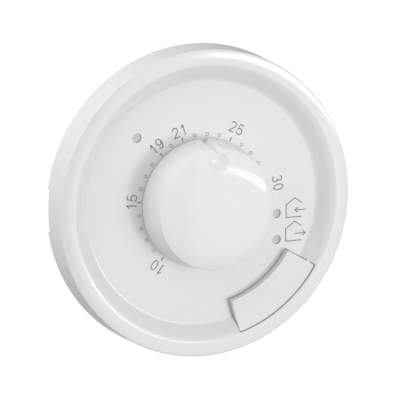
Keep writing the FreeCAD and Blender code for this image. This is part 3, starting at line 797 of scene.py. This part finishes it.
# ---- finishes of the CAD nodes ----
def node_looks():
    """Material of every CAD node that stays in the picture."""
    white = plastic("switch_white", (0.72, 0.72, 0.70), 0.45)
    black = plastic("black_plastic", (0.03, 0.03, 0.033), 0.5, grain=3000, bump=0.2)
    zinc = metal("zinc_steel", (0.58, 0.60, 0.63), 0.35, (1, 1, 14), 500)
    spring = metal("spring_steel", (0.50, 0.51, 0.53), 0.25)
    screws = metal("screw_steel", (0.55, 0.55, 0.56), 0.28)
    grey = plastic("housing_grey", (0.30, 0.31, 0.32), 0.5, grain=2600, bump=0.25, spread=0.04)
    board = circuit_board()
    gold = metal("gold_pins", (0.78, 0.58, 0.22), 0.22)
    brass = metal("terminal_brass", (0.68, 0.50, 0.22), 0.3)
    iron = metal("relay_iron", (0.42, 0.42, 0.44), 0.4)
    tin = metal("tinned", (0.66, 0.66, 0.67), 0.3)
    # the grey light pipes carry painted shade for the floors of the window recesses
    pipe = clear_pipe()
    return {
        "heating_light_pipe": pipe, "comfort_light_pipe": pipe, "setback_light_pipe": pipe,
        "knob_retaining_ring": spring, "cover_clips": spring, "switch_plunger": white,
        "switch_body": black, "microcontroller": black, "board_socket": black, "board_header": black,
        "relay_base": black, "support_frame": zinc, "frame_screws": screws, "lid_screws": screws,
        "board_screws": screws, "terminal_screws": screws, "rear_housing": grey, "housing_lid": grey,
        "control_board": board, "power_board": board, "header_pins": gold, "terminal_clamps": brass,
        "relay_yoke": iron, "relay_armature": iron, "potentiometer_pins": tin,
        "relay_fixed_contact": metal("contact_bronze", (0.66, 0.44, 0.20), 0.3),
        "potentiometer_bushing": metal("nickel", (0.62, 0.60, 0.55), 0.25),
        "potentiometer_body": plastic("pot_blue", (0.04, 0.10, 0.28), 0.45, bump=0.15),
        "potentiometer_shaft": plastic("shaft_plastic", (0.68, 0.66, 0.60), 0.4, bump=0.1),
        "temperature_sensor": plastic("sensor_epoxy", (0.015, 0.015, 0.015), 0.15),
        "relay_case": plastic("relay_blue", (0.03, 0.10, 0.34), 0.2, bump=0.05),
        "relay_coil": winding(),
        "suppression_capacitor": plastic("capacitor_yellow", (0.70, 0.48, 0.05), 0.4, bump=0.15, spread=0.04),
        "smoothing_capacitor": plastic("capacitor_sleeve", (0.015, 0.015, 0.02), 0.25),
        "varistor": plastic("varistor_blue", (0.03, 0.12, 0.36), 0.3, bump=0.2, spread=0.05),
        "fuse": plastic("fuse_brown", (0.14, 0.06, 0.03), 0.4, bump=0.1),
        "dropper_resistor": plastic("resistor_ceramic", (0.62, 0.59, 0.52), 0.55, bump=0.3, spread=0.05),
        "terminal_block": plastic("terminal_grey", (0.44, 0.45, 0.46), 0.45, bump=0.15, spread=0.03),
        "heating_led": plastic("led_red", (0.55, 0.06, 0.04), 0.15),
        "comfort_led": plastic("led_green", (0.08, 0.42, 0.10), 0.15),
        "setback_led": plastic("led_green_2", (0.08, 0.42, 0.10), 0.15),
    }


def finish_nodes():
    """Dresses the CAD nodes. Very thin ones keep their sharp edges."""
    thin = 0.9 * MM
    for name, material in node_looks().items():
        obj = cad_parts[name]
        dress(obj, material)
        low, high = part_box(name)
        if min(high - low) > thin:
            soften(obj, 0.08 * MM, 45.0)
        smooth(obj, 35.0)


# ---- camera, light and backdrop ----
def soft_light(name, direction, size_deg, strength, along=(1, 0, 0), glossy=True):
    """Rectangular light that spans size_deg as seen from the object, its first size lying along a direction.

    Its strength is the share of full white that it adds to a white surface facing it.
    """
    distance = 0.9
    back = Vector(direction).normalized()
    side = Vector(along)
    side = (side - back * side.dot(back)).normalized()
    up = back.cross(side)
    data = bpy.data.lights.new(name, "AREA")
    data.shape = "RECTANGLE"
    data.size = 2 * distance * math.tan(math.radians(size_deg[0]) / 2)
    data.size_y = 2 * distance * math.tan(math.radians(size_deg[1]) / 2)
    solid_angle = data.size * data.size_y / distance ** 2
    radiance = strength * math.pi / solid_angle
    data.energy = math.pi * data.size * data.size_y * radiance
    lamp = new_object(name, data)
    turn = Matrix((side, up, back)).transposed().to_4x4()
    lamp.matrix_world = Matrix.Translation(back * distance) @ turn
    lamp.visible_glossy = glossy


def make_camera():
    """Long lens from the left and slightly above, aimed at the plate's centre."""
    azimuth, elevation = math.radians(-22.95), math.radians(12.14)
    distance = 0.6622
    back = Vector((math.sin(azimuth) * math.cos(elevation), -math.cos(azimuth) * math.cos(elevation),
                   math.sin(elevation)))
    target = Vector((0, -plate_front, 0))
    data = bpy.data.cameras.new("camera")
    data.sensor_width = 36.0
    data.lens = 258.3
    data.shift_x = -0.0080
    data.shift_y = 0.0065
    data.clip_end = 20.0
    camera = new_object("camera", data)
    camera.location = target + back * distance
    camera.rotation_mode = "QUATERNION"
    camera.rotation_quaternion = (-back).to_track_quat("-Z", "Y")
    bpy.context.scene.camera = camera


def make_backdrop():
    """White dome round the whole studio. Only the camera sees it, so it changes no light."""
    mat, tree, bsdf = shader("backdrop_paper")
    fibre = object_noise(tree, 300.0)
    tinted(tree, bsdf, (0.04, 0.04, 0.04), fibre.outputs["Fac"], 0.1)
    bsdf.inputs["Roughness"].default_value = 0.9
    bsdf.inputs["Emission Color"].default_value = (1, 1, 1, 1)
    bsdf.inputs["Emission Strength"].default_value = 0.98
    bm = bmesh.new()
    bmesh.ops.create_uvsphere(bm, u_segments=48, v_segments=24, radius=3.0)
    bmesh.ops.reverse_faces(bm, faces=bm.faces)
    backdrop = built("backdrop", bm)
    dress(backdrop, mat)
    backdrop.visible_diffuse = False
    backdrop.visible_glossy = False
    backdrop.visible_shadow = False


def make_studio():
    world = bpy.data.worlds.new("studio")
    world.use_nodes = True
    glow = world.node_tree.nodes["Background"]
    glow.inputs["Color"].default_value = (1.0, 1.0, 1.0, 1)
    glow.inputs["Strength"].default_value = SURROUND
    bpy.context.scene.world = world
    soft_light("key", (0.457, -0.863, -0.218), (8, 8), 0.19, glossy=False)
    soft_light("softbox", (0.569, -0.813, -0.122), (40, 44), 0.17)
    soft_light("strip", (0.566, -0.824, -0.035), (24, 5.5), 0.05, along=(0.276, 0.193, -0.055))
    soft_light("front", (0.0, -1.0, 0.1), (50, 50), 0.15, glossy=False)
    soft_light("left", (-0.85, -0.30, 0.43), (50, 50), 0.19)
    soft_light("above", (-0.1, -0.1, 1.0), (50, 50), 0.22, glossy=False)
    soft_light("behind", (-0.72, 0.3, 0.62), (60, 60), 0.76, glossy=False)
    make_backdrop()
    settings = bpy.context.scene.view_settings
    settings.view_transform = "Standard"
    settings.look = "None"


make_cover()
make_knob()
make_button()
scale_ink = ink()
make_scale(scale_ink)
make_pictograms(scale_ink)
finish_nodes()
make_camera()
make_studio()
